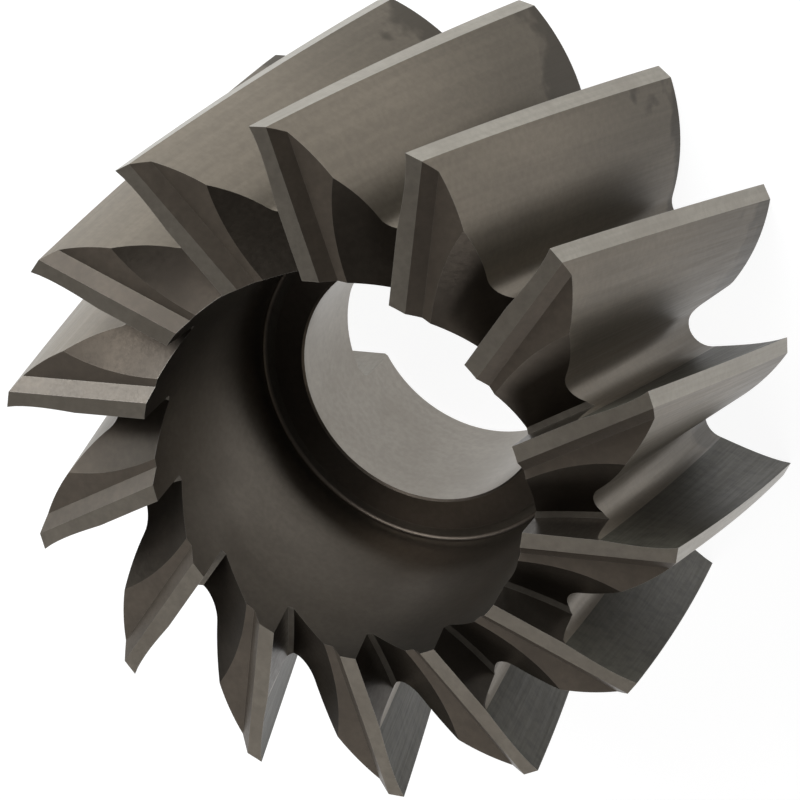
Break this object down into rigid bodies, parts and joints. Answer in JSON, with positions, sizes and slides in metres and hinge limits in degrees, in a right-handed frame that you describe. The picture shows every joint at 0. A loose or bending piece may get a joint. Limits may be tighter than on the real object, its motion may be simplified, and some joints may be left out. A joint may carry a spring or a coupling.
{
  "type": "shell end mill",
  "caption": "Hollow milling cutter with right-hand helical teeth and gashed end teeth, a plain bore, a front screw recess and a driving slot across its back face.",
  "frame": {"origin": "centre of the bore on the flat back face, which is the driving face", "axes": "+Z along the bore axis towards the end teeth, X along the driving slot"},
  "size_m": [0.1012, 0.1016, 0.0571],
  "materials": {
    "ground_tool_steel": "ground and slightly stained"
  },
  "bodies": {
    "root": {"cutter_body": "ground_tool_steel"}
  },
  "joints": []
}
